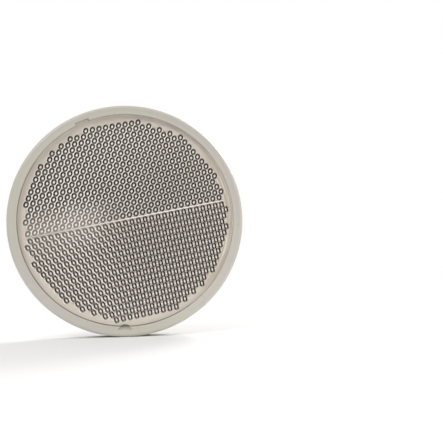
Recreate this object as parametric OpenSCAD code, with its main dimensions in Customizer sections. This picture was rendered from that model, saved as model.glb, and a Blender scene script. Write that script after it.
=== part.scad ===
// Round clear retro-reflector with a threaded mounting stud.
// Every sub-part is drawn face up: x to the right, y up, z towards the viewer, with z = 0 on the
// plane of the rear lip. The module as_mounted() then turns it upright, so that the lens looks
// along -Y and the stud points along +Y.

/* [Body] */
// Outside diameter of the body
body_d = 84; // [83:0.5:88]
// Depth of the body, from the rear lip to the front rim
body_depth = 8.8; // [8.6:0.1:10]
// Width of the front rim round the lens
rim_w = 3.6; // [3.4:0.1:4.2]
// Width of the rear lip
lip_w = 2.8; // [2.4:0.1:3.4]
// Depth of the rear tray, from the lip to its floor
tray_depth = 3.6; // [3.2:0.1:3.7]
// Thickness of the floor
floor_t = 1.4; // [1.2:0.1:1.4]
// Rounding of the front outer edge
front_round = 1.2; // [0.6:0.1:1.4]
// Rounding of the lip's two edges
lip_round = 0.5; // [0.3:0.1:0.7]

/* [Boss] */
// Diameter of the boss that holds the stud
boss_d = 15.6; // [14:0.2:17]
// How far the boss face lies below the lip
boss_drop = 0.4; // [0.2:0.1:0.6]
// Length of each gusset past the boss
gusset_len = 8.6; // [6:0.2:10]
// Thickness of each gusset
gusset_t = 0.9; // [0.7:0.1:1.2]

/* [Lens] */
// Thickness of the clear plate without its prisms
plate_t = 1.4; // [1.2:0.1:1.4]
// Gap all round between the lens and its seat
lens_gap = 0.1; // [0.05:0.05:0.2]
// Width of one prism, flat to flat
prism_pitch = 2.4; // [2.2:0.1:2.4]
// Largest radius of a prism's centre
prism_reach = 36.3; // [30:0.1:36.4]
// Slope of the seam between the two prism zones
seam_angle = 11; // [0:1:30]
// Place of the locating tab round the lens
tab_angle = 115; // [100:1:130]
// Place of the half-round key round the lens
key_angle = -91.5; // [-100:0.5:-80]

/* [Hardware] */
// Thread diameter of the stud and nut
thread_d = 5; // [5:0.1:5.2]
// Thread pitch
thread_pitch = 0.8; // [0.8:0.05:0.9]
// Reach of the stud beyond the rear lip
stud_reach = 17.1; // [16.5:0.1:20]
// Distance from the rear lip to the nut, as stored
nut_at = 6.05; // [5.8:0.05:6.1]
// Width of the nut and of the stud's head, flat to flat
hex_w = 8; // [8:0.5:8.5]
// Height of the nut
nut_h = 4; // [3.5:0.1:4]
// Number of teeth on the lock washer
washer_teeth = 10; // [8:1:12]

/* [Hidden] */
overlap = 0.01;
// body
body_r = body_d / 2;
seat_r = body_r - rim_w;
ledge_w = 0.5;
tray_r = body_r - lip_w;
tray_round = 1;
floor_front = tray_depth + floor_t;
seat_round = 0.3;
// lens
lens_front = body_depth - 0.1;
lens_back = lens_front - plate_t;
lens_r = seat_r - lens_gap;
lens_chamfer = 0.25;
tab_w = 5;
tab_out = 0.8;
key_r = 2.7;
key_centre = seat_r + 2.25;
key_drop = 0.4;
// prisms: each is the corner of a cube that stands on its point
corner_r = prism_pitch / sqrt(3);
prism_step = corner_r / sqrt(2);
row_gap = prism_pitch * sqrt(3) / 2;
web_t = 0.15;
prism_root = 0.3;
prism_rows = floor(prism_reach / row_gap) + 1;
prism_cols = ceil(prism_reach / prism_pitch) + 1;
upper_shift = 0.32 * prism_pitch;
lower_shift = 0.52 * prism_pitch;
// hardware
thread_r = thread_d / 2;
thread_depth = 0.33;
groove_under = 0.56;
groove_free = 0.44;
tip_chamfer = 0.5;
head_h = 2;
head_seat = tray_depth - 0.7;
fit_gap = 0.05;
nut_bore_r = thread_r + fit_gap;
nut_rest_top = nut_at + nut_h;
washer_bore_r = thread_r + 0.15;
washer_ring_r = 3.9;
washer_r = 5;
washer_t = 0.6;
tooth_w = 1.5;
tooth_twist = 20;
washer_mid = -boss_drop + (tooth_w * sin(tooth_twist) + washer_t * cos(tooth_twist)) / 2;
$fn = 96;

white = [0.93, 0.92, 0.89];
clear = [0.85, 0.86, 0.84, 0.55];
plated_steel = [0.74, 0.73, 0.70];

// A quarter turn of a rounded edge in a profile, from angle a to angle b.
function rounded(x, y, r, a, b, steps = 6) =
    [for (i = [0:steps]) [x + r * cos(a + (b - a) * i / steps), y + r * sin(a + (b - a) * i / steps)]];

module as_mounted() rotate([90, 0, 0]) children();

// ---------------------------------------------------------------- housing

// Half section of the moulded tray, from the axis outwards.
module tray_section() {
    polygon(concat(
        [[0, floor_front], [0, tray_depth]],
        rounded(tray_r - tray_round, tray_depth - tray_round, tray_round, 90, 0),
        rounded(tray_r + lip_round, lip_round, lip_round, 180, 270),
        rounded(body_r - lip_round, lip_round, lip_round, 270, 360),
        rounded(body_r - front_round, body_depth - front_round, front_round, 0, 90),
        rounded(seat_r + seat_round, body_depth - seat_round, seat_round, 90, 180),
        [[seat_r, lens_back], [seat_r - ledge_w, lens_back], [seat_r - ledge_w, floor_front]]
    ));
}

// Boss with a softened edge, rising from the tray floor to just below the lip.
module boss() {
    boss_r = boss_d / 2;
    rotate_extrude()
    polygon(concat(
        [[0, tray_depth + floor_t / 2], [boss_r, tray_depth + floor_t / 2]],
        rounded(boss_r - 0.4, boss_drop + 0.4, 0.4, 360, 270),
        [[0, boss_drop]]
    ));
}

// One triangular gusset, highest at the boss.
module gusset() {
    inner = boss_d / 2 - 1;
    outer = boss_d / 2 + gusset_len;
    translate([0, gusset_t / 2, 0])
    rotate([90, 0, 0])
    linear_extrude(gusset_t)
    polygon([
        [inner, boss_drop + 0.35],
        [boss_d / 2, boss_drop + 0.35],
        [outer, tray_depth],
        [outer, tray_depth + overlap],
        [inner, tray_depth + overlap]
    ]);
}

// Block at the lens edge, used for the tab and for the notch that takes it.
module tab_block(width, reach, low, high) {
    rotate([0, 0, tab_angle])
    translate([lens_r - 1, -width / 2, low])
    cube([reach - lens_r + 1, width, high - low]);
}

// Half-round key that stops the lens from being fitted the wrong way round.
module locating_key() {
    intersection() {
        rotate([0, 0, key_angle])
        translate([key_centre, 0, lens_back - 0.4])
        cylinder(r = key_r, h = body_depth - key_drop - lens_back + 0.4);

        cylinder(r = seat_r + 0.5, h = body_depth);
    }
}

module housing() {
    color(white)
    as_mounted() {
        difference() {
            union() {
                difference() {
                    rotate_extrude($fn = 128) tray_section();
                    tab_block(tab_w + 0.3, seat_r + tab_out + lens_gap, lens_back, body_depth + 1);
                }
                boss();
                for (turn = [0:90:270]) rotate([0, 0, turn]) gusset();
                locating_key();
            }
            translate([0, 0, -1])
            cylinder(r = thread_r + fit_gap, h = floor_front);

            translate([0, 0, head_seat])
            cylinder(r = (hex_w / 2 + fit_gap) / cos(30), h = floor_front, $fn = 6);
        }
    }
}

// ---------------------------------------------------------------- lens

// The prisms of one zone are counted in columns i along the seam and rows j away from it.
// A zone is drawn with its seam on the x axis and all its rows at positive y.
function cell_x(i, j, shift) = (i + (j % 2) / 2) * prism_pitch + shift;
function cell_y(j) = corner_r + j * row_gap;
function in_reach(i, j, shift) = norm([cell_x(i, j, shift), cell_y(j)]) <= prism_reach;
function cell_number(i, j) = (i + prism_cols) * (prism_rows + 2) + j + 1;

// Each cell holds five points: its tip, its lower corner and its lower right corner on the
// prism surface, and the same two corners up inside the plate.
function cell_points(i, j, shift, tip_z) =
    let (x = cell_x(i, j + 2, shift), y = cell_y(j))
    [
        [x, y, tip_z],
        [x, y - corner_r, tip_z + prism_step],
        [x + prism_pitch / 2, y - corner_r / 2, tip_z + 2 * prism_step],
        [x, y - corner_r, lens_back + prism_root],
        [x + prism_pitch / 2, y - corner_r / 2, lens_back + prism_root]
    ];

// The six corners of a cell, each as [column, row, which corner of that cell: 0 low, 1 right],
// starting at the bottom and running anticlockwise.
function cell_corners(i, j) =
    let (odd = (j + 2) % 2)
    [
        [i, j, 0],
        [i, j, 1],
        [i + odd, j + 1, 0],
        [i - 1 + odd, j + 1, 1],
        [i - 1 + odd, j + 1, 0],
        [i - 1, j, 1]
    ];

// Neighbour across each side, in the same order as the corners.
function neighbours(i, j) =
    let (odd = (j + 2) % 2)
    [[i + odd, j - 1], [i + 1, j], [i + odd, j + 1], [i - 1 + odd, j + 1], [i - 1, j], [i - 1 + odd, j - 1]];

module prism_zone(shift) {
    tip_z = lens_back - web_t - 2 * prism_step;
    points = [
        for (i = [-prism_cols:prism_cols + 1], j = [-1:prism_rows])
            each cell_points(i, j, shift, tip_z)
    ];
    used = function (i, j) j >= 0 && j < prism_rows && in_reach(i, j, shift);
    low = function (c) 5 * cell_number(c[0], c[1]) + 1 + c[2];
    high = function (c) 5 * cell_number(c[0], c[1]) + 3 + c[2];
    faces = [
        for (i = [-prism_cols + 1:prism_cols - 1], j = [0:prism_rows - 1])
            if (used(i, j))
                let (tip = 5 * cell_number(i, j), c = cell_corners(i, j), n = neighbours(i, j))
                each concat(
                    [for (k = [0:2:4]) [tip, low(c[k]), low(c[(k + 1) % 6]), low(c[(k + 2) % 6])]],
                    [[for (k = [5:-1:0]) high(c[k])]],
                    [
                        for (k = [0:5])
                            if (!used(n[k][0], n[k][1]))
                                [low(c[k]), high(c[k]), high(c[(k + 1) % 6]), low(c[(k + 1) % 6])]
                    ]
                )
    ];
    polyhedron(points, faces, convexity = 10);
}

// Clear plate with its chamfered front edge.
module lens_plate() {
    translate([0, 0, lens_back])
    cylinder(r = lens_r, h = plate_t - lens_chamfer, $fn = 128);

    translate([0, 0, lens_front - lens_chamfer])
    cylinder(r1 = lens_r, r2 = lens_r - lens_chamfer, h = lens_chamfer, $fn = 128);
}

module lens() {
    color(clear)
    as_mounted() {
        difference() {
            union() {
                lens_plate();
                tab_block(tab_w, seat_r + tab_out, lens_back, lens_front - lens_chamfer);
            }
            rotate([0, 0, key_angle])
            translate([key_centre, 0, 0])
            cylinder(r = key_r + lens_gap, h = body_depth + 1);
        }
        rotate([0, 0, seam_angle]) prism_zone(upper_shift);
        rotate([0, 0, seam_angle + 180]) prism_zone(lower_shift);
    }
}

// ---------------------------------------------------------------- hardware

// Half section of one ring of thread, from crest to crest.
function thread_ring(at, groove) = [
    [thread_r, at],
    [thread_r, at + thread_pitch - groove],
    [thread_r - thread_depth, at + thread_pitch - groove / 2]
];

// Screw with a low hexagonal head. Rings stand in for the thread. They are cut a little wider
// up to the nut, so that the free end beyond it reads as one wall of its own.
module stud() {
    start = head_seat - 0.2;
    rings = floor((stud_reach - tip_chamfer + start) / thread_pitch);
    color(plated_steel)
    as_mounted() {
        translate([0, 0, head_seat])
        cylinder(r = hex_w / 2 / cos(30), h = head_h, $fn = 6);

        mirror([0, 0, 1])
        rotate_extrude($fn = 64)
        polygon(concat(
            [[0, -head_seat - head_h / 2], [thread_r - 0.2, -head_seat - head_h / 2]],
            [
                for (i = [0:rings - 1])
                    let (at = -start + i * thread_pitch)
                    each thread_ring(at, at > nut_rest_top ? groove_free : groove_under)
            ],
            [[thread_r, stud_reach - tip_chamfer], [thread_r - tip_chamfer, stud_reach], [0, stud_reach]]
        ));
    }
}

// Star washer: a flat ring with teeth that are each twisted out of its plane.
module lock_washer() {
    color(plated_steel)
    as_mounted()
    translate([0, 0, -washer_mid])
    difference() {
        union() {
            translate([0, 0, -washer_t / 2])
            cylinder(r = washer_ring_r, h = washer_t);

            for (i = [0:washer_teeth - 1])
                rotate([0, 0, 360 * i / washer_teeth])
                rotate([tooth_twist, 0, 0])
                translate([washer_ring_r - 0.6, -tooth_w / 2, -washer_t / 2])
                cube([washer_r - washer_ring_r + 0.6, tooth_w, washer_t]);
        }
        translate([0, 0, -2])
        cylinder(r = washer_bore_r, h = 4);
    }
}

// Hexagon nut, bevelled at both ends and countersunk at both mouths of its bore.
module nut() {
    corner = hex_w / 2 / cos(30);
    bevel = 0.35;
    mouth = 0.3;
    color(plated_steel)
    as_mounted()
    translate([0, 0, -nut_rest_top])
    difference() {
        intersection() {
            cylinder(r = corner, h = nut_h, $fn = 6);

            rotate_extrude()
            polygon([
                [0, 0],
                [hex_w / 2 - 0.1, 0],
                [corner + 0.02, bevel],
                [corner + 0.02, nut_h - bevel],
                [hex_w / 2 - 0.1, nut_h],
                [0, nut_h]
            ]);
        }
        translate([0, 0, -1])
        cylinder(r = nut_bore_r, h = nut_h + 2);

        translate([0, 0, -overlap])
        cylinder(r1 = nut_bore_r + mouth, r2 = nut_bore_r, h = mouth);

        translate([0, 0, nut_h - mouth + overlap])
        cylinder(r1 = nut_bore_r, r2 = nut_bore_r + mouth, h = mouth);
    }
}

housing();
lens();
stud();
lock_washer();
nut();
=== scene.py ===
"""Looks of a round clear retro-reflector with a threaded mounting stud.

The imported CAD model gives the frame. Every piece is drawn face up in millimetres, with x to the
right, y up and z towards the viewer, and the function upright() puts its points into the frame.
"""

import math
import random

import bmesh
import bpy
from mathutils import Matrix, Vector
from mathutils.geometry import delaunay_2d_cdt


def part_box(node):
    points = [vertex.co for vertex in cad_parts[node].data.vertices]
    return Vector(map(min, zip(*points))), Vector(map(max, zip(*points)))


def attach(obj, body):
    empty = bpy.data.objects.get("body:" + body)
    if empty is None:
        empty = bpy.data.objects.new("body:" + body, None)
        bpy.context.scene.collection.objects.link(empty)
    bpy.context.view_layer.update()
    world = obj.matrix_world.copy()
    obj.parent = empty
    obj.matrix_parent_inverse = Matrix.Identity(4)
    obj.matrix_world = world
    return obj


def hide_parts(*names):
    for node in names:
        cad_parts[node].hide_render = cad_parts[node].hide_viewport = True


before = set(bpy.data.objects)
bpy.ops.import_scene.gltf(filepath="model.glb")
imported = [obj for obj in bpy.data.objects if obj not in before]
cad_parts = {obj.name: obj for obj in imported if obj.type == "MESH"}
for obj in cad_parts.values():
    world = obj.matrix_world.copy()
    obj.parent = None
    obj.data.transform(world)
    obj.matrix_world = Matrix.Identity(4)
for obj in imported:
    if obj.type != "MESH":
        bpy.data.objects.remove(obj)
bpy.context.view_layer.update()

MM = 0.001

# ------------------------------------------------------------------ sizes, in millimetres

housing_low, housing_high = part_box("housing")
stud_low, stud_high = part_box("stud")
nut_low, nut_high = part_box("nut")

OVERLAP = 1.0  # how far a cutter or a joined part reaches past the surface that it meets
WELD = 0.002  # points closer than this become one

# housing, with z measured from the rear lip
BODY_R = housing_high.x / MM
BODY_DEPTH = -housing_low.y / MM
SEAT_R = BODY_R - 3.6
TRAY_R = BODY_R - 2.8
TRAY_DEPTH = 3.6
FLOOR_FRONT = 5.0
TRAY_ROUND = 1.0
FRONT_ROUND = 1.2
LIP_ROUND = 0.5
SEAT_ROUND = 0.3
LEDGE_W = 0.5
RIM_DIP = 0.07
BODY_STEPS = 288
BOSS_R = 7.8
BOSS_DROP = 0.4
BOSS_ROUND = 0.8
BOSS_FILLET = 0.7
BOSS_SUNK = 0.3
RIB_LEN = 8.6
RIB_T = 0.9
RIB_DROP = BOSS_DROP + 0.35
RIB_FOOT = 0.6
RIB_EASE = 0.16

# lens
LENS_FRONT = BODY_DEPTH - 0.1
LENS_BACK = LENS_FRONT - 1.4
LENS_R = SEAT_R - 0.06
LENS_ROUND = 0.25
LENS_ROUND_STEPS = 3
LEDGE = LENS_BACK - 0.04  # a hair behind the lens, so that the two faces don't coincide
TAB_ANGLE = math.radians(115)
TAB_W = 5.0
TAB_OUT = 0.8
TAB_SIDE_GAP = 0.06
TAB_END_GAP = 0.1
KEY_ANGLE = math.radians(-91.5)
KEY_R = 2.7
KEY_CENTRE = SEAT_R + 2.25
KEY_DROP = 0.4
KEY_SINK = 0.4
NOTCH_R = KEY_R + 0.1
NOTCH_STEP = 0.0035  # angle between the extra points of the lens's edge along the notch
RECESS_W = 1.6
RECESS_DEPTH = 0.9
RECESS_RISE = 0.6  # share of its depth that the recess loses towards its outer edge

# prisms
PITCH = 2.4
ROW_GAP = PITCH * math.sqrt(3) / 2
CORNER_R = PITCH / math.sqrt(3)
REACH = 36.3
SEAM_ANGLE = math.radians(11)
UPPER_SHIFT = 0.32
LOWER_SHIFT = 0.48
RELIEF = 0.3  # depth of the facets as a share of a true cube corner's
FACET_STEP = RELIEF * CORNER_R / math.sqrt(2)

# stud
THREAD_R = 2.5
THREAD_PITCH = 0.8
THREAD_DEPTH = 0.47
THREAD_EASE = 0.035
# one turn of thread: share of the pitch, and depth below the crest
THREAD_TURN = (
    (0, THREAD_EASE), (0.04, 0), (0.085, 0), (0.125, THREAD_EASE),
    (0.479, THREAD_DEPTH), (0.646, THREAD_DEPTH),
)
THREAD_STEPS = 56
THREAD_SPARE = 2  # length that a thread core has to spare at each end
STUD_END = stud_high.y / MM
TIP_R = THREAD_R - 0.62
TIP_BEVEL = 0.6
TIP_EASE = 0.12
TIP_DISH = ((1.3, 0), (1.0, 0.1), (0.35, 0.16), (0, 0.16))  # radius and depth
HEX_W = 8.0
HEAD_SEAT = 2.9
HEAD_EASE = 0.12
HEAD_SINK = 0.5  # how far the threaded rod runs into the head
CREST_CLEAR = 0.1
HEAD_H = -stud_low.y / MM - HEAD_SEAT
BORE_GAP = 0.05

# nut
NUT_AT = nut_low.y / MM
NUT_H = (nut_high.y - nut_low.y) / MM
NUT_EASE = 0.12
NUT_BEVEL = 0.42
NUT_FACE_EASE = 0.1
THREAD_GAP = 0.04
MOUTH_R = THREAD_R + 0.12
MOUTH_DEPTH = 0.62
MOUTH_OUT = 0.5

# lock washer
WASHER_BORE_R = 2.65
WASHER_RING_R = 3.9
WASHER_R = 5.0
WASHER_T = 0.6
WASHER_EASE = 0.12
WASHER_TEETH = 10
TOOTH_W = 1.5
TOOTH_T = WASHER_T * 0.98
TOOTH_TAPER = 0.12
TOOTH_EASE = 0.09
TOOTH_ROOT_R = WASHER_RING_R - 0.9
TOOTH_TWIST = math.radians(20)
TWIST_FROM = 0.25  # the twist starts and ends at these shares of a tooth's length
TWIST_TO = 0.75
WASHER_MID = -BOSS_DROP + (TOOTH_W * math.sin(TOOTH_TWIST) + WASHER_T * math.cos(TOOTH_TWIST)) / 2

# camera, floor and lamps
CAMERA_PLACE = (6.5, -199.3, -21.95)
CAMERA_AIM = (0.1419, 0.9841, 0.1067)
CAMERA_UP = (0.0029, -0.1082, 0.9941)
CAMERA_LENS = 42.67
CAMERA_SENSOR = 36
FLOOR_R = 600
FLOOR_GAP = 0.05
# name, place, target, size, watts, tint
LAMPS = (
    ("key", (-420, -520, 560), (0, 0, 0), (420, 420), 2.35, (1, 0.99, 0.975)),
    ("right_strip", (430, -60, 160), (0, 0, 0), (60, 420), 0.45, (1, 1, 1)),
    ("warm_strip", (330, -420, 60), (0, 0, 0), (26, 420), 0.4, (1, 0.86, 0.62)),
    ("back_key", (460, 560, 520), (0, 0, 0), (360, 360), 4.4, (1, 0.995, 0.985)),
    ("front_spot", (-64, -405, 40), (-10, -8, -1), (40, 40), 0.007, (1, 1, 1)),
)

# ------------------------------------------------------------------ mesh helpers


def upright(x, y, z):
    """A point drawn face up, in millimetres, as a point of the frame."""
    return Vector((x, -z, y)) * MM


def polar(radius, angle, z):
    """As upright(), from a radius and an angle."""
    return upright(radius * math.cos(angle), radius * math.sin(angle), z)


def swung(x, y, turn):
    """The point (x, y), turned anticlockwise about the centre."""
    c, s = math.cos(turn), math.sin(turn)
    return x * c - y * s, x * s + y * c


def arc(x, y, radius, start, end, steps):
    """Points of an arc in a profile, its angles in degrees."""
    turns = [math.radians(start + (end - start) * i / steps) for i in range(steps + 1)]
    return [(x + radius * math.cos(a), y + radius * math.sin(a)) for a in turns]


def hexagon(across):
    """Corners of a hexagon, given the distance across its flats."""
    corner = across / 2 / math.cos(math.pi / 6)
    return [swung(corner, 0, math.tau * i / 6) for i in range(6)]


def new_object(name, mesh):
    """A linked object made from a bmesh, which is used up."""
    bmesh.ops.recalc_face_normals(mesh, faces=mesh.faces)
    data = bpy.data.meshes.new(name)
    mesh.to_mesh(data)
    mesh.free()
    made = bpy.data.objects.new(name, data)
    bpy.context.scene.collection.objects.link(made)
    return made


def add_face(mesh, corners):
    """A face through the corners, leaving out any that repeats."""
    kept = [v for i, v in enumerate(corners) if v is not corners[i - 1]]
    if len(set(kept)) >= 3:
        mesh.faces.new(kept)


def add_walls(mesh, near, far):
    """A ring of faces between two closed loops of points."""
    for i in range(len(near)):
        mesh.faces.new([near[i - 1], near[i], far[i], far[i - 1]])


def add_skin(mesh, sections):
    """Walls from section to section, and a cap on the first and on the last."""
    mesh.faces.new(sections[0])
    mesh.faces.new(sections[-1])
    for near, far in zip(sections, sections[1:]):
        add_walls(mesh, near, far)


def ease(mesh, edges, width):
    """Rounds edges over, the width in millimetres."""
    bmesh.ops.recalc_face_normals(mesh, faces=mesh.faces)
    bmesh.ops.bevel(mesh, geom=edges, offset=width * MM, segments=3, profile=0.5, affect="EDGES")


def lathe(name, profile, steps, closed=False):
    """A turned solid. The profile is a list of (radius, z), and a radius of 0 makes a pole."""
    mesh = bmesh.new()
    rings = []
    for radius, z in profile:
        count = steps if radius > 1e-6 else 1
        rings.append([mesh.verts.new(polar(radius, math.tau * i / steps, z)) for i in range(count)])
    following = rings[1:] + (rings[:1] if closed else [])
    for near, far in zip(rings, following):
        for i in range(steps):
            near_pair = (near[i % len(near)], near[(i + 1) % len(near)])
            far_pair = (far[(i + 1) % len(far)], far[i % len(far)])
            add_face(mesh, near_pair + far_pair)
    return new_object(name, mesh)


def prism(name, outline, low, high, rounding=0.0):
    """A straight block over an outline of (x, y), from z = low to z = high."""
    mesh = bmesh.new()
    add_skin(mesh, [[mesh.verts.new(upright(x, y, z)) for x, y in outline] for z in (low, high)])
    if rounding:
        ease(mesh, mesh.edges[:], rounding)
    return new_object(name, mesh)


def rework(made, change):
    """Runs change() on the object's mesh, given as a bmesh."""
    mesh = bmesh.new()
    mesh.from_mesh(made.data)
    change(mesh)
    mesh.to_mesh(made.data)
    mesh.free()


def bake_modifiers(made):
    """Applies the object's modifiers to its mesh."""
    seen = made.evaluated_get(bpy.context.evaluated_depsgraph_get())
    data = bpy.data.meshes.new_from_object(seen)
    made.modifiers.clear()
    made.data = data


def combine(target, tool, operation):
    """Adds, cuts or intersects the tool's solid with the target's, and removes the tool."""
    step = target.modifiers.new(operation, "BOOLEAN")
    step.operation = operation
    step.solver = "EXACT"
    step.object = tool
    bpy.context.view_layer.update()
    bake_modifiers(target)
    bpy.data.objects.remove(tool)


def smooth(made, angle):
    """Smooth shading, broken at edges sharper than the angle in degrees."""
    made.data.shade_smooth()
    made.data.set_sharp_from_angle(angle=math.radians(angle))
    evening = made.modifiers.new("even_normals", "WEIGHTED_NORMAL")
    evening.keep_sharp = True
    bpy.context.view_layer.update()
    bake_modifiers(made)


def finished(made, materials, body, node):
    """Gives a piece its materials and its body, and hides the imported part that it stands for."""
    for material in materials:
        made.data.materials.append(material)
    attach(made, body)
    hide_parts(node)


# ------------------------------------------------------------------ node helpers


class Tree:
    """Short calls that build the nodes of a material or of the world."""

    def __init__(self, owner):
        self.owner = owner
        owner.use_nodes = True
        self.nodes = owner.node_tree.nodes
        self.links = owner.node_tree.links
        self.nodes.clear()

    def add(self, kind, inputs=None, **settings):
        """A new node with its settings, each input either linked or set."""
        node = self.nodes.new(kind)
        for key, value in settings.items():
            setattr(node, key, value)
        for key, value in (inputs or {}).items():
            if isinstance(value, bpy.types.NodeSocket):
                self.links.new(value, node.inputs[key])
            else:
                node.inputs[key].default_value = value
        return node

    def place(self):
        """The shaded point in the object's own axes in metres, and its three parts."""
        point = self.add("ShaderNodeTexCoord").outputs["Object"]
        return point, self.parts(point)

    def parts(self, vector):
        return self.add("ShaderNodeSeparateXYZ", {0: vector}).outputs

    def maths(self, operation, *values, clamp=False):
        inputs = dict(enumerate(values))
        return self.add("ShaderNodeMath", inputs, operation=operation, use_clamp=clamp).outputs[0]

    def product(self, first, *others):
        for value in others:
            first = self.maths("MULTIPLY", first, value)
        return first

    def greatest(self, first, *others):
        for value in others:
            first = self.maths("MAXIMUM", first, value)
        return first

    def length(self, x, y):
        """Distance of the point (x, y) from the centre."""
        squares = self.maths("ADD", self.maths("POWER", x, 2.0), self.maths("POWER", y, 2.0))
        return self.maths("SQRT", squares)

    def distance(self, x, y, centre_x, centre_y):
        """Distance from a centre given in millimetres."""
        x = self.maths("SUBTRACT", x, centre_x * MM)
        y = self.maths("SUBTRACT", y, centre_y * MM)
        return self.length(x, y)

    def from_seam(self, x, z):
        """Distance from the seam between the two zones of prisms."""
        rise = self.maths("MULTIPLY", z, math.cos(SEAM_ANGLE))
        run = self.maths("MULTIPLY", x, math.sin(SEAM_ANGLE))
        return self.maths("ABSOLUTE", self.maths("SUBTRACT", rise, run))

    def step(self, value, low, high, bottom=0.0, top=1.0):
        """Runs smoothly from bottom, where value is low, to top, where it is high."""
        inputs = {0: value, 1: low, 2: high, 3: bottom, 4: top}
        return self.add("ShaderNodeMapRange", inputs, interpolation_type="SMOOTHSTEP").outputs[0]

    def step_mm(self, value, low, high, bottom=0.0, top=1.0):
        """As step(), with low and high in millimetres."""
        return self.step(value, low * MM, high * MM, bottom, top)

    def blend(self, share, first, second):
        """A number that goes from first to second as share goes from 0 to 1."""
        rest = self.maths("SUBTRACT", 1.0, share)
        return self.maths("ADD", self.product(rest, first), self.product(share, second))

    def mix(self, share, first, second):
        """As blend(), for colours."""
        inputs = {0: share, 6: first, 7: second}
        return self.add("ShaderNodeMix", inputs, data_type="RGBA").outputs[2]

    def noise(self, vector, scale, detail=2.0, roughness=0.5):
        inputs = {"Vector": vector, "Scale": scale, "Detail": detail, "Roughness": roughness}
        return self.add("ShaderNodeTexNoise", inputs).outputs[0]

    def bump(self, height, strength, distance_mm, normal=None):
        inputs = {"Height": height, "Strength": strength, "Distance": distance_mm * MM}
        if normal is not None:
            inputs["Normal"] = normal
        return self.add("ShaderNodeBump", inputs).outputs[0]

    def mixed_shader(self, share, first, second):
        inputs = {0: share, 1: first.outputs[0], 2: second.outputs[0]}
        return self.add("ShaderNodeMixShader", inputs)

    def surface(self, shader):
        """Ends the tree in the shader, and gives back the material or world."""
        kind = "Material" if isinstance(self.owner, bpy.types.Material) else "World"
        self.add("ShaderNodeOutput" + kind, {"Surface": shader.outputs[0]})
        return self.owner

    def principled(self, inputs):
        """Ends the tree in a Principled shader with these inputs."""
        return self.surface(self.add("ShaderNodeBsdfPrincipled", inputs))


def material(name):
    return Tree(bpy.data.materials.new(name))


def colour(red, green, blue):
    """A shader colour from the three screen values, each from 0 to 255."""
    linear = [
        ((value / 255 + 0.055) / 1.055) ** 2.4 if value > 10 else value / 255 / 12.92
        for value in (red, green, blue)
    ]
    return (*linear, 1.0)


BRIGHT = colour(255, 251, 247)
WHITE = (1, 1, 1, 1)

# ------------------------------------------------------------------ materials


def white_plastic():
    """Moulded white plastic: faint warm and cool clouds, flow waviness and a fine skin.

    The recess beside the key is darker towards the lens: painted shade, which stands for the shadow
    that the lens's edge casts into it."""
    t = material("white_plastic")
    place, (x, y, z) = t.place()
    clouds = t.step(t.noise(place, 24, 1, 0.5), 0.36, 0.66)
    mottle = t.step(t.noise(place, 190, 3, 0.6), 0.35, 0.7)
    base = t.mix(clouds, colour(197, 194, 183), colour(195, 190, 186))
    base = t.mix(t.product(mottle, 0.045), base, colour(187, 183, 171))

    # painted shade in the half-moon recess beside the key, darkest at the lens and kept off the
    # back
    key_x, key_z = swung(KEY_CENTRE, 0, KEY_ANGLE)
    inside = t.step_mm(t.distance(x, z, key_x, key_z), KEY_R - 0.05, KEY_R, 1.0, 0.0)
    above_key = t.maths("SUBTRACT", z, key_z * MM)
    inward = t.step_mm(above_key, KEY_R - RECESS_W - 0.2, KEY_R, 0.0, 0.75)
    front = t.step_mm(y, 1.3 - BODY_DEPTH, 1.5 - BODY_DEPTH, 1.0, 0.0)
    base = t.mix(t.product(inside, inward, front), base, colour(120, 113, 98))

    gloss = t.step(t.noise(place, 240, 3, 0.6), 0.3, 0.7, 0.27, 0.36)
    waves = t.bump(t.noise(place, 60, 1, 0.4), 0.35, 0.35)
    skin = t.bump(t.noise(place, 2600, 2, 0.5), 0.12, 0.03, waves)
    return t.principled({"Base Color": base, "Roughness": gloss, "Normal": skin, "IOR": 1.5})


def clear_plastic():
    """Polished front of the lens: clear, with a gloss that grows towards grazing angles.

    Light that comes back out from behind passes straight through."""
    t = material("clear_plastic")
    place, _ = t.place()
    gloss = t.step(t.noise(place, 130, 3, 0.6), 0.3, 0.75, 0.06, 0.15)
    waves = t.bump(t.noise(place, 45, 2, 0.4), 0.2, 0.12)
    through = t.add("ShaderNodeBsdfTransparent", {"Color": (0.99, 0.977, 0.968, 1)})
    inputs = {"Color": WHITE, "Roughness": gloss, "Normal": waves}
    shine = t.add("ShaderNodeBsdfAnisotropic", inputs)
    share = t.add("ShaderNodeFresnel", {"IOR": 1.49, "Normal": waves}).outputs[0]
    behind = t.add("ShaderNodeNewGeometry").outputs["Backfacing"]
    share = t.product(share, t.maths("SUBTRACT", 1.0, behind))
    return t.surface(t.mixed_shader(share, through, shine))


def lens_edge():
    """Side wall and eased corner of the lens, darker at the left and bottom: painted shade for the
    shadowed gap along the lens's edge.
    """
    t = material("lens_edge")
    place, (x, _, z) = t.place()
    # painted shade: lighter towards the right and top, darker at the left and bottom
    light = t.greatest(t.step_mm(x, 12, 36), t.product(t.step_mm(z, 12, 36), 0.55))
    patchy = t.step(t.noise(place, 160, 2, 0.5), 0.3, 0.7, 0.0, 0.25)
    share = t.maths("ADD", t.product(light, 0.8), patchy, clamp=True)
    base = t.mix(share, colour(120, 114, 105), colour(222, 216, 205))
    return t.principled({"Base Color": base, "Roughness": 0.25})


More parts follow.
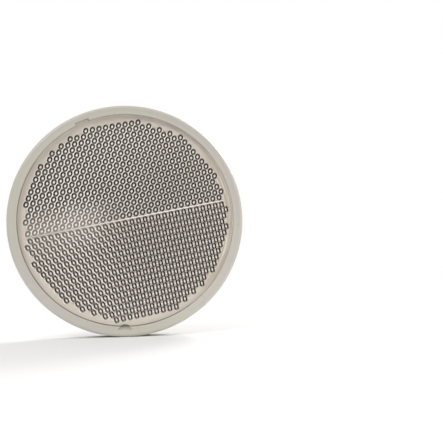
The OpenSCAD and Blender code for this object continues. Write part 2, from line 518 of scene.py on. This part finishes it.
def lens_flat():
    """Flat back of the lens: pale where the housing shows through, bright along the seam.

    The right border has thin dull and bright streaks that follow the rim: painted reflections."""
    t = material("lens_flat")
    place, (x, _, z) = t.place()
    radius = t.length(x, z)
    clouds = t.step(t.noise(place, 70, 3, 0.5), 0.35, 0.65)
    pale = t.mix(clouds, colour(217, 213, 202), colour(218, 212, 206))
    around = t.add("ShaderNodeCombineXYZ", {0: radius, 1: t.product(z, 0.04)}).outputs[0]
    # painted reflections: dull and bright streaks that follow the rim on the right border
    streaks = t.noise(around, 1300, 2, 0.5)
    right = t.step_mm(x, 24, 33)
    dull = t.product(t.step(streaks, 0.46, 0.6), right, 0.7)
    glint = t.product(t.step(streaks, 0.34, 0.42, 1.0, 0.0), right, 0.8)
    pale = t.mix(dull, pale, colour(190, 176, 145))
    pale = t.mix(glint, pale, colour(250, 247, 238))

    line = t.step_mm(t.from_seam(x, z), 0.08, 0.35, 1.0, 0.0)
    line = t.product(line, t.step_mm(x, -34, 10, 0.35, 1.0))
    seam = t.mix(line, colour(165, 158, 150), colour(255, 254, 252))
    border = t.step_mm(radius, 34.5, 36.2)
    return t.principled({"Base Color": t.mix(border, seam, pale), "Roughness": 0.3})


def turned_cell(t, u, v, degrees):
    """A cell's own axes, turned so that the second leans to the right by the angle."""
    angle = t.maths("RADIANS", degrees)
    c, s = t.maths("COSINE", angle), t.maths("SINE", angle)
    p = t.maths("SUBTRACT", t.product(u, c), t.product(v, s))
    q = t.maths("ADD", t.product(u, s), t.product(v, c))
    return p, q


def oval_ring(t, u, v, lean, half_w, half_h, outer, ends, core_from, core_to):
    """The dark ring and the bright core of a cell; the dark ring is a painted reflection.

    The ring is darkest on an oval and at its two sides, and at the oval's ends it keeps the
    share given by ends. half_w and half_h are shares of the pitch, and outer, core_from and
    core_to are shares of the oval."""
    inner = 0.46
    p, q = turned_cell(t, u, v, lean)
    p = t.maths("DIVIDE", p, half_w)
    q = t.maths("DIVIDE", q, half_h)
    size = t.greatest(t.length(p, q), 0.001)
    rise = t.step(size, inner, (inner + 1) / 2)
    fall = t.step(size, (outer + 1) / 2, outer, 1.0, 0.0)
    sideways = t.maths("DIVIDE", t.maths("ABSOLUTE", p), size)
    ring = t.product(rise, fall, t.step(sideways, 0.1, 0.8, ends, 1.0))
    return ring, t.step(size, core_from, core_to, 1.0, 0.0)


def ridges(t, u, v, lower, across, near_middle):
    """Bright lines along the sides of the cells, their strength set by the direction that the sides
    face and by place: painted light.
    """
    def ridge(degrees, strength):
        facing = t.maths("ABSOLUTE", turned_cell(t, u, v, degrees)[0])
        return t.product(t.step(facing, 0.33, 0.43), strength)

    to_right = t.step(across, 0.25, 0.75)
    upper_rising = t.greatest(t.step(across, 0.3, 0.7, 1.0, 0.2), near_middle)
    upper_falling = t.greatest(t.step(across, 0.3, 0.7, 0.2, 1.0), near_middle)
    upper_upright = t.blend(near_middle, 0.75, 0.35)
    lower_rising = t.blend(to_right, 0.15, 0.6)
    lower_falling = t.blend(to_right, 1.0, 0.35)
    faint_end = t.step(across, 0.2, 0.8, 0.45, 0.1)
    lower_upright = t.step(t.maths("ABSOLUTE", v), 0.08, 0.25, 1.0, faint_end)
    return t.greatest(
        ridge(60, t.blend(lower, upper_rising, lower_rising)),
        ridge(-60, t.blend(lower, upper_falling, lower_falling)),
        ridge(0, t.blend(lower, upper_upright, lower_upright)),
    )


def prism_faces():
    """Prisms seen through the plate. Each shows a dark ring round a bright core, with bright
    ridges between the prisms: the ring is a painted reflection of the dark view that the prisms
    send back, and the ridges' strength by direction and place is painted light. In the lower zone
    the rings open at top and bottom and join up into wavy columns. The rings weaken by the left
    part of the seam, and the middle is dimmer, a painted shade."""
    t = material("prism_faces")
    place, (x, _, z) = t.place()
    u, v, lower = t.parts(t.add("ShaderNodeAttribute", attribute_name="cell").outputs["Vector"])
    tone = t.add("ShaderNodeAttribute", attribute_name="cell_tone").outputs["Fac"]
    across = t.step_mm(x, -30, 30)
    near_middle = t.step_mm(t.maths("ABSOLUTE", x), 4, 22, 1.0, 0.0)

    # painted reflection: the dark rings and bright cores of both zones
    upper_ring, upper_core = oval_ring(t, u, v, 27, 0.28, 0.36, 1.6, 0.85, 0.3, 0.7)
    lean = t.step(across, 0.1, 0.7, -17.0, -2.0)
    height = t.step(across, 0.1, 1.0, 0.45, 0.56)
    ends = t.step(across, 0.0, 1.0, 0.45, 0.15)
    lower_ring, lower_core = oval_ring(t, u, v, lean, 0.265, height, 1.42, ends, 0.2, 0.6)

    near_seam = t.step_mm(t.from_seam(x, z), 0, 12, 1.0, 0.0)
    faded = t.product(near_seam, t.step_mm(x, -20, 4, 1.0, 0.1), 0.3)
    # painted shade: the fill is darker in the lower zone and towards the middle, paler further out
    from_middle = t.distance(x, z, 13, -2)
    fill = t.mix(lower, colour(184, 175, 167), colour(128, 119, 112))
    paler = t.step_mm(from_middle, 16, 44, 0.0, t.blend(lower, 0.6, 0.14))
    fill = t.mix(paler, fill, colour(245, 238, 230))

    base = t.mix(t.blend(lower, upper_core, lower_core), fill, BRIGHT)
    # painted light: bright ridges between the prisms
    base = t.mix(ridges(t, u, v, lower, across, near_middle), base, BRIGHT)
    ring = t.blend(lower, upper_ring, lower_ring)
    # the dark ring, a painted reflection, weakened by the left part of the seam
    base = t.mix(t.product(ring, t.maths("SUBTRACT", 1.0, faded)), base, colour(9, 8, 7))
    base = t.mix(t.product(tone, 0.1), base, colour(120, 112, 104))
    # painted shade: the middle of the lens is dimmer
    base = t.mix(t.step_mm(from_middle, 6, 36, 0.14, 0.0), base, colour(60, 56, 52))
    gloss = t.step(ring, 0.0, 1.0, 0.35, 0.2)
    ripple = t.bump(t.noise(place, 1800, 1, 0.5), 0.15, 0.03)
    return t.principled(
        {"Base Color": base, "Roughness": gloss, "Normal": ripple, "Specular IOR Level": 0.15}
    )


def plated_steel():
    """Bright plating: fine scratches, dull patches and stains, and thread roots darkened with
    painted shade.
    """
    t = material("plated_steel")
    place, (x, _, z) = t.place()
    patches = t.step(t.noise(place, 520, 4, 0.6), 0.35, 0.7)
    stains = t.step(t.noise(place, 1400, 3, 0.6), 0.55, 0.78)
    base = t.mix(patches, colour(196, 190, 184), colour(162, 154, 147))
    base = t.mix(t.product(stains, 0.4), base, colour(140, 126, 112))
    # painted shade: darker in the thread roots, where shade falls between the crests
    radius = t.length(x, z)
    roots = t.product(t.step_mm(radius, 1.45, 1.7), t.step_mm(radius, 2.12, 2.38, 1.0, 0.0))
    base = t.mix(t.product(roots, 0.85), base, colour(70, 58, 50))
    gloss = t.step(t.noise(place, 900, 4, 0.65), 0.3, 0.75, 0.1, 0.26)
    stretched = t.add("ShaderNodeMapping", {"Vector": place, "Scale": (1, 6, 1)}).outputs[0]
    scratches = t.bump(t.noise(stretched, 2200, 3, 0.6), 0.25, 0.02)
    return t.principled(
        {"Base Color": base, "Metallic": 1.0, "Roughness": gloss, "Normal": scratches}
    )


# ------------------------------------------------------------------ housing


def tray():
    """The turned body, with a very shallow dip along the top of the rim."""
    rim_mid = (SEAT_R + SEAT_ROUND + BODY_R - FRONT_ROUND) / 2
    rim_half = (BODY_R - FRONT_ROUND - SEAT_R - SEAT_ROUND) / 2
    dip = [
        (rim_mid - rim_half * i / 6, BODY_DEPTH - RIM_DIP * (1 + math.cos(math.pi * i / 6)) / 2)
        for i in range(-5, 6)
    ]
    profile = [(0, TRAY_DEPTH), (BOSS_R + BOSS_FILLET + OVERLAP, TRAY_DEPTH)]
    profile += arc(TRAY_R - TRAY_ROUND, TRAY_DEPTH - TRAY_ROUND, TRAY_ROUND, 90, 0, 8)
    profile += arc(TRAY_R + LIP_ROUND, LIP_ROUND, LIP_ROUND, 180, 270, 6)
    profile += arc(BODY_R - LIP_ROUND, LIP_ROUND, LIP_ROUND, 270, 360, 6)
    profile += arc(BODY_R - FRONT_ROUND, BODY_DEPTH - FRONT_ROUND, FRONT_ROUND, 0, 90, 10)
    profile += dip
    profile += arc(SEAT_R + SEAT_ROUND, BODY_DEPTH - SEAT_ROUND, SEAT_ROUND, 90, 180, 5)
    profile += [(SEAT_R, LEDGE), (SEAT_R - LEDGE_W, LEDGE)]
    profile += [(SEAT_R - LEDGE_W, FLOOR_FRONT), (BOSS_R, FLOOR_FRONT), (0, FLOOR_FRONT)]
    return lathe("housing_shell", profile, BODY_STEPS)


def boss():
    """Boss with an eased top edge and a fillet where it meets the floor."""
    foot_r = BOSS_R + BOSS_FILLET
    profile = [(0, FLOOR_FRONT - BOSS_SUNK), (foot_r, FLOOR_FRONT - BOSS_SUNK)]
    profile += arc(foot_r, TRAY_DEPTH - BOSS_FILLET, BOSS_FILLET, 90, 180, 6)
    profile += arc(BOSS_R - BOSS_ROUND, BOSS_DROP + BOSS_ROUND, BOSS_ROUND, 0, -90, 5)
    profile += [(0, BOSS_DROP)]
    return lathe("boss", profile, 128)


def gusset(turn):
    """Tapered rib from the boss down to the floor, thicker at its foot."""
    inner = BOSS_R - OVERLAP
    outer = BOSS_R + RIB_LEN
    # radius, z, and thickness as a share of the rib's own
    side = (
        (inner, RIB_DROP, 0.8),
        (BOSS_R, RIB_DROP, 0.8),
        (outer, TRAY_DEPTH - 0.05, 0.85),
        (outer, TRAY_DEPTH + RIB_FOOT, 1.15),
        (inner, TRAY_DEPTH + RIB_FOOT, 1.15),
    )
    mesh = bmesh.new()
    walls = [
        [
            mesh.verts.new(upright(*swung(radius, sign * share * RIB_T / 2, turn), z))
            for radius, z, share in side
        ]
        for sign in (-1, 1)
    ]
    add_skin(mesh, walls)
    ease(mesh, mesh.edges[:], RIB_EASE)
    return new_object("gusset", mesh)


def key_block():
    """Half-round key on the wall of the seat."""
    turns = [math.radians(180 + degrees) for degrees in range(-60, 61, 6)]
    outline = [
        swung(KEY_CENTRE + KEY_R * math.cos(a), KEY_R * math.sin(a), KEY_ANGLE) for a in turns
    ]
    return prism("key", outline, LENS_BACK - KEY_SINK, BODY_DEPTH - KEY_DROP)


def key_recess():
    """Cutter for the shallow half-moon beside the key, deepest at the lens."""
    reach = math.acos(1 - RECESS_W / KEY_R)
    turns = [reach * (i - 12) / 12 for i in range(25)]
    low, high = [], []
    mesh = bmesh.new()
    for turn in turns:
        outward = KEY_R * (1 - math.cos(turn)) / RECESS_W
        x, y = swung(KEY_CENTRE - KEY_R * math.cos(turn), KEY_R * math.sin(turn), KEY_ANGLE)
        z = BODY_DEPTH - RECESS_DEPTH * (1 - RECESS_RISE * outward)
        low.append(mesh.verts.new(upright(x, y, z)))
        high.append(mesh.verts.new(upright(x, y, BODY_DEPTH + OVERLAP)))
    add_skin(mesh, [low, high])
    return new_object("key_recess", mesh)


def tab_slot():
    """Cutter for the notch that takes the tab of the lens."""
    half = TAB_W / 2 + TAB_SIDE_GAP
    inner = LENS_R - OVERLAP
    outer = SEAT_R + TAB_OUT + TAB_END_GAP
    corners = ((inner, -half), (outer, -half), (outer, half), (inner, half))
    outline = [swung(radius, side, TAB_ANGLE) for radius, side in corners]
    return prism("tab_slot", outline, LEDGE, BODY_DEPTH + OVERLAP)


def housing(plastic):
    """The body with its boss, ribs and key, cut for the lens, the stud and its head."""
    made = tray()
    ribs = boss()
    for i in range(4):
        combine(ribs, gusset(math.tau * i / 4), "UNION")
    combine(made, ribs, "UNION")
    combine(made, key_block(), "UNION")
    combine(made, key_recess(), "DIFFERENCE")
    combine(made, tab_slot(), "DIFFERENCE")
    low, high = -OVERLAP, FLOOR_FRONT + OVERLAP
    bore_r = THREAD_R + BORE_GAP
    bore = lathe("bore", [(0, low), (bore_r, low), (bore_r, high), (0, high)], 64)
    combine(made, bore, "DIFFERENCE")
    pocket = prism("pocket", hexagon(HEX_W + 2 * BORE_GAP), HEAD_SEAT, high)
    combine(made, pocket, "DIFFERENCE")

    def weld(mesh):
        bmesh.ops.remove_doubles(mesh, verts=mesh.verts, dist=2 * WELD * MM)
        bmesh.ops.dissolve_degenerate(mesh, edges=mesh.edges, dist=WELD * MM)

    rework(made, weld)
    smooth(made, 28)
    finished(made, [plastic], "body", "housing")


# ------------------------------------------------------------------ lens

CLEAR, EDGE, FLAT, FACETS = range(4)  # the material slots of the lens


def cells():
    """Centres of the prisms, along and away from the seam, with their zone: 0 above, 1 below."""
    found = []
    rows = int(REACH / ROW_GAP) + 1
    columns = int(REACH / PITCH) + 2
    for zone, side, shift in ((0, 1, UPPER_SHIFT), (1, -1, LOWER_SHIFT)):
        for row in range(rows):
            for column in range(-columns, columns + 1):
                along = (column + (row % 2) / 2 + shift) * PITCH
                away = side * (CORNER_R + row * ROW_GAP)
                if math.hypot(along, away) <= REACH:
                    found.append((along, away, zone))
    return found


def cell_corners(along, away):
    """The six corners of a prism, anticlockwise from its upper right."""
    turns = [math.radians(30 + 60 * k) for k in range(6)]
    return [(along + CORNER_R * math.cos(a), away + CORNER_R * math.sin(a)) for a in turns]


def notch_reach(from_key):
    """Radius of the lens's edge at an angle from the key."""
    inside = NOTCH_R**2 - (KEY_CENTRE * math.sin(from_key)) ** 2
    if inside <= 0 or math.cos(from_key) < 0:
        return LENS_R
    return min(LENS_R, KEY_CENTRE * math.cos(from_key) - math.sqrt(inside))


def lens_outline():
    """Outline of the lens as (angle, radius), anticlockwise from the right."""
    reach = SEAT_R + TAB_OUT
    near_tab = math.atan(TAB_W / 2 / LENS_R) + 0.004
    points = [(TAB_ANGLE, reach)]
    for i in range(BODY_STEPS):
        angle = math.tau * i / BODY_STEPS
        if abs(angle - TAB_ANGLE) > near_tab:
            points.append((angle, notch_reach(angle - KEY_ANGLE)))
    for side in (-1, 1):
        for radius in (LENS_R, reach):
            points.append((TAB_ANGLE + side * math.atan(TAB_W / 2 / radius), radius))
    for i in range(-6, 7):
        from_key = i * NOTCH_STEP
        points.append((KEY_ANGLE % math.tau + from_key, notch_reach(from_key)))
    sorted_points = sorted(set((round(angle, 6), radius) for angle, radius in points))
    return [
        point for i, point in enumerate(sorted_points)
        if i == 0 or point[0] - sorted_points[i - 1][0] > 1e-5
    ]


def add_plate(mesh, outline):
    """Front and side wall of the lens, with an eased corner."""
    levels = [(LENS_BACK, 0.0)]
    for i in range(LENS_ROUND_STEPS + 1):
        a = math.pi / 2 * i / LENS_ROUND_STEPS
        inset = LENS_ROUND * (1 - math.cos(a))
        levels.append((LENS_FRONT - LENS_ROUND * (1 - math.sin(a)), inset))
    loops = [
        [mesh.verts.new(polar(radius - inset, angle, z)) for angle, radius in outline]
        for z, inset in levels
    ]
    for level, (low, high) in enumerate(zip(loops, loops[1:])):
        first = len(mesh.faces)
        add_walls(mesh, low, high)
        mesh.faces.ensure_lookup_table()
        for wall in mesh.faces[first:]:
            wall.material_index = EDGE if level else FLAT
    mesh.faces.new(loops[-1]).material_index = CLEAR


def add_flat_back(mesh, outline, found):
    """The back of the plate wherever there is no prism."""
    points = [Vector((radius * math.cos(a), radius * math.sin(a))) for a, radius in outline]
    areas = [list(range(len(points)))]
    for along, away, _ in found:
        areas.append(list(range(len(points), len(points) + 6)))
        points += [Vector(swung(*corner, SEAM_ANGLE)) for corner in cell_corners(along, away)]
    flat_points, _, triangles, _, _, owners = delaunay_2d_cdt(points, [], areas, 1, 1e-4)
    for triangle, owner in zip(triangles, owners):
        if list(owner) == [0]:
            places = [flat_points[i] for i in triangle]
            corners = [mesh.verts.new(upright(p.x, p.y, LENS_BACK)) for p in places]
            mesh.faces.new(corners).material_index = FLAT


def add_facets(mesh, found):
    """Three facets to a prism, which run down to its middle.

    The face corners carry the place in the cell with the zone, and one shade for each cell."""
    local = mesh.loops.layers.float_vector.new("cell")
    tone = mesh.loops.layers.float.new("cell_tone")
    dice = random.Random(7)
    for along, away, zone in found:
        level = 1 - zone  # whether the odd or the even corners are level with the plate
        ring = [
            (corner, LENS_BACK if k % 2 == level else LENS_BACK - FACET_STEP)
            for k, corner in enumerate(cell_corners(along, away))
        ]
        tip = ((along, away), LENS_BACK - 2 * FACET_STEP)
        shade = dice.random()
        for k in range(level + 1, level + 7, 2):
            quad = [tip, ring[k % 6], ring[(k + 1) % 6], ring[(k + 2) % 6]]
            corners = [mesh.verts.new(upright(*swung(*spot, SEAM_ANGLE), z)) for spot, z in quad]
            face = mesh.faces.new(corners)
            face.material_index = FACETS
            for corner, (spot, _) in zip(face.loops, quad):
                corner[local] = ((spot[0] - along) / PITCH, (spot[1] - away) / PITCH, zone)
                corner[tone] = shade


def close_cell_ends(mesh):
    """A small wall at each side of a prism that has no neighbour, up to the flat back."""
    for end in [e for e in mesh.edges if len(e.link_faces) == 1]:
        if end.link_faces[0].material_index == FACETS:
            level, deep = sorted(end.verts, key=lambda v: v.co.y)
            above = mesh.verts.new((deep.co.x, level.co.y, deep.co.z))
            mesh.faces.new([above, deep, level]).material_index = FLAT


def lens(clear, edge, flat, facets):
    """The clear plate, with its tab and notch, and the shallow facets of its prisms behind."""
    mesh = bmesh.new()
    outline = lens_outline()
    found = cells()
    add_plate(mesh, outline)
    add_flat_back(mesh, outline, found)
    add_facets(mesh, found)
    bmesh.ops.remove_doubles(mesh, verts=mesh.verts, dist=WELD * MM)
    close_cell_ends(mesh)
    bmesh.ops.remove_doubles(mesh, verts=mesh.verts, dist=WELD * MM)
    made = new_object("reflector_lens", mesh)
    made.data.shade_smooth()
    made.data.set_sharp_from_angle(angle=math.radians(12))
    finished(made, [clear, edge, flat, facets], "body", "lens")


# ------------------------------------------------------------------ stud, nut and washer


def thread_core(name, start, end, spread):
    """A screw-shaped solid along the stud's axis, with a right-hand thread.

    start and end are distances out from the rear lip, and spread widens it for the nut."""
    crest = THREAD_R + spread
    count = len(THREAD_TURN)
    mesh = bmesh.new()

    def corner(row, i):
        turn, k = divmod(row, count)
        share, depth = THREAD_TURN[k]
        angle = math.tau * i / THREAD_STEPS
        out = start + THREAD_PITCH * (turn + share + i / THREAD_STEPS)
        x, y = (crest - depth) * math.sin(angle), (crest - depth) * math.cos(angle)
        return mesh.verts.new(upright(x, y, -out))

    last = int((end - start) / THREAD_PITCH) * count
    rows = [[corner(row, i) for i in range(THREAD_STEPS)] for row in range(last + 1)]
    rows += [[corner(row, 0)] for row in range(last + 1, last + count + 1)]

    def at(row, i):
        return rows[row][i] if i < THREAD_STEPS else rows[row + count][0]

    for row in range(last):
        for i in range(THREAD_STEPS):
            mesh.faces.new([at(row, i), at(row, i + 1), at(row + 1, i + 1), at(row + 1, i)])
    for row, out in ((0, start - OVERLAP), (last, end + THREAD_SPARE)):
        hub = mesh.verts.new(upright(0, 0, -out))
        rim = [at(row, i) for i in range(THREAD_STEPS + 1)]
        rim += [rows[row + k][0] for k in range(count - 1, 0, -1)]
        for i in range(len(rim)):
            mesh.faces.new([rim[i - 1], rim[i], hub])
    return new_object(name, mesh)


def thread_start(out):
    """The place nearest below out where a thread core may start and still match the others."""
    return math.floor(out / THREAD_PITCH) * THREAD_PITCH


def stud(steel):
    """Screw with a rolled thread, a bevelled and slightly dished end and a low hexagonal head."""
    start = thread_start(-HEAD_SEAT - HEAD_H - OVERLAP)
    made = thread_core("threaded_stud", start, STUD_END + OVERLAP, 0)
    tip = -STUD_END
    inside_head = HEAD_SEAT + HEAD_SINK
    clear_r = THREAD_R + CREST_CLEAR
    envelope = [(0, inside_head), (clear_r, inside_head), (clear_r, tip + TIP_BEVEL)]
    envelope += arc(TIP_R, tip + TIP_EASE, TIP_EASE, -45, -90, 3)
    envelope += [(radius, tip + depth) for radius, depth in TIP_DISH]
    combine(made, lathe("rod", envelope, 96), "INTERSECT")
    head = prism("head", hexagon(HEX_W), HEAD_SEAT, HEAD_SEAT + HEAD_H, HEAD_EASE)
    combine(made, head, "UNION")
    smooth(made, 30)
    finished(made, [steel], "body", "stud")


def nut(steel):
    """Hexagon nut with cone-shaped bevels at both ends and a thread inside."""
    low, high = -NUT_AT - NUT_H, -NUT_AT
    made = prism("hex_nut", hexagon(HEX_W), low, high)

    def ease_corners(mesh):
        ends = [(edge, edge.verts[0].co.y, edge.verts[1].co.y) for edge in mesh.edges]
        ease(mesh, [edge for edge, a, b in ends if abs(a - b) > NUT_H / 2 * MM], NUT_EASE)

    rework(made, ease_corners)
    outer = HEX_W / 2 / math.cos(math.pi / 6) + 0.05
    face_r = HEX_W / 2 - NUT_EASE - NUT_FACE_EASE
    cone = [(0, low), (face_r, low)]
    cone += arc(face_r, low + NUT_FACE_EASE, NUT_FACE_EASE, -90, -62, 3)
    cone += [(outer, low + NUT_BEVEL), (outer, high - NUT_BEVEL)]
    cone += arc(face_r, high - NUT_FACE_EASE, NUT_FACE_EASE, 62, 90, 3)
    cone += [(0, high)]
    combine(made, lathe("cone", cone, 120), "INTERSECT")
    start = thread_start(NUT_AT - THREAD_SPARE)
    core = thread_core("tap", start, NUT_AT + NUT_H + THREAD_SPARE, THREAD_GAP)
    combine(made, core, "DIFFERENCE")
    for face, inward in ((low, 1), (high, -1)):
        outside = face - inward * MOUTH_OUT
        inside = face + inward * MOUTH_DEPTH
        mouth = [(0, outside), (MOUTH_R + MOUTH_OUT, outside), (MOUTH_R, face)]
        mouth += [(MOUTH_R - MOUTH_DEPTH, inside), (0, inside)]
        combine(made, lathe("mouth", mouth, 96), "DIFFERENCE")
    smooth(made, 30)
    finished(made, [steel], "nut", "nut")


def washer_tooth(turn):
    """One tooth, level at the ring and twisted at its tip, with eased edges."""
    mesh = bmesh.new()
    sections = []
    stations = 6
    half_t = TOOTH_T / 2
    for i in range(stations + 1):
        share = i / stations
        radius = TOOTH_ROOT_R + (WASHER_R - TOOTH_ROOT_R) * share
        twisted = (share - TWIST_FROM) / (TWIST_TO - TWIST_FROM)
        twist = TOOTH_TWIST * min(1.0, max(0.0, twisted))
        half_w = TOOTH_W / 2 * (1 - TOOTH_TAPER * share)
        w, h = half_w - TOOTH_EASE, half_t - TOOTH_EASE
        outline = (
            (-w, -half_t), (w, -half_t), (half_w, -h), (half_w, h),
            (w, half_t), (-w, half_t), (-half_w, h), (-half_w, -h),
        )
        section = []
        for point in outline:
            side, rise = swung(*point, twist)
            section.append(mesh.verts.new(upright(*swung(radius, side, turn), rise - WASHER_MID)))
        sections.append(section)
    add_skin(mesh, sections)
    return new_object("tooth", mesh)


def lock_washer(steel):
    """Star washer: a pressed ring with twisted teeth."""
    inner = WASHER_BORE_R + WASHER_EASE
    outer = WASHER_RING_R - WASHER_EASE
    half = WASHER_T / 2 - WASHER_EASE
    profile = []
    corners = ((inner, -half, 180), (outer, -half, 270), (outer, half, 0), (inner, half, 90))
    for radius, z, start in corners:
        profile += arc(radius, z - WASHER_MID, WASHER_EASE, start, start + 90, 3)
    made = lathe("star_washer", profile, 120, closed=True)
    for i in range(WASHER_TEETH):
        combine(made, washer_tooth(math.tau * i / WASHER_TEETH), "UNION")
    smooth(made, 30)
    finished(made, [steel], "lock_washer", "lock_washer")


# ------------------------------------------------------------------ camera, floor and light


def add_camera():
    """Camera just below the middle of the lens, aimed a little right of it and slightly up."""
    data = bpy.data.cameras.new("camera")
    data.lens = CAMERA_LENS
    data.sensor_width = CAMERA_SENSOR
    data.clip_start = 0.005
    data.clip_end = 10
    made = bpy.data.objects.new("camera", data)
    bpy.context.scene.collection.objects.link(made)
    made.location = Vector(CAMERA_PLACE) * MM
    aim = Vector(CAMERA_AIM).normalized()
    side = aim.cross(Vector(CAMERA_UP)).normalized()
    made.rotation_euler = Matrix((side, side.cross(aim), -aim)).transposed().to_euler()
    bpy.context.scene.camera = made


def add_floor():
    """Pale floor under the rim that fades out into the background."""
    t = material("floor")
    place, _ = t.place()
    far = t.add("ShaderNodeVectorMath", {0: place}, operation="LENGTH").outputs["Value"]
    paper = t.add("ShaderNodeBsdfDiffuse", {"Color": (0.86, 0.86, 0.86, 1)})
    gone = t.add("ShaderNodeBsdfTransparent")
    finish = t.surface(t.mixed_shader(t.step_mm(far, 50, 320), paper, gone))
    mesh = bmesh.new()
    turns = [math.tau * i / 64 for i in range(64)]
    rim = [(FLOOR_R * math.cos(a) * MM, FLOOR_R * math.sin(a) * MM, 0) for a in turns]
    mesh.faces.new([mesh.verts.new(corner) for corner in rim])
    made = new_object("floor", mesh)
    made.location = (0, 0, housing_low.z - FLOOR_GAP * MM)
    made.data.materials.append(finish)


def add_lamp(name, place, target, size, watts, tint):
    """Soft rectangular lamp, its place, target and size in millimetres."""
    data = bpy.data.lights.new(name, "AREA")
    data.shape = "RECTANGLE"
    data.size, data.size_y = size[0] * MM, size[1] * MM
    data.energy = watts
    data.color = tint
    made = bpy.data.objects.new(name, data)
    bpy.context.scene.collection.objects.link(made)
    made.location = Vector(place) * MM
    way = Vector(target) * MM - made.location
    made.rotation_euler = way.to_track_quat("-Z", "Y").to_euler()


def add_world():
    """White to the camera. As a light it is brighter overhead and dimmer to front and back."""
    world = bpy.data.worlds.new("studio")
    bpy.context.scene.world = world
    t = Tree(world)
    _, y, z = t.parts(t.add("ShaderNodeTexCoord").outputs["Generated"])
    height = t.step(z, -0.35, 0.85, 0.38, 0.78)
    sideways = t.step(t.maths("ABSOLUTE", y), 0.45, 1.0, 1.05, 0.75)
    strength = t.product(height, sideways)
    soft = t.add("ShaderNodeBackground", {"Color": WHITE, "Strength": strength})
    white = t.add("ShaderNodeBackground", {"Color": WHITE})
    seen = t.add("ShaderNodeLightPath").outputs["Is Camera Ray"]
    t.surface(t.mixed_shader(seen, soft, white))


# ------------------------------------------------------------------ the scene

bpy.context.scene.view_settings.view_transform = "Standard"
add_camera()
add_floor()
for lamp in LAMPS:
    add_lamp(*lamp)
add_world()
plated = plated_steel()
housing(white_plastic())
lens(clear_plastic(), lens_edge(), lens_flat(), prism_faces())
stud(plated)
lock_washer(plated)
nut(plated)
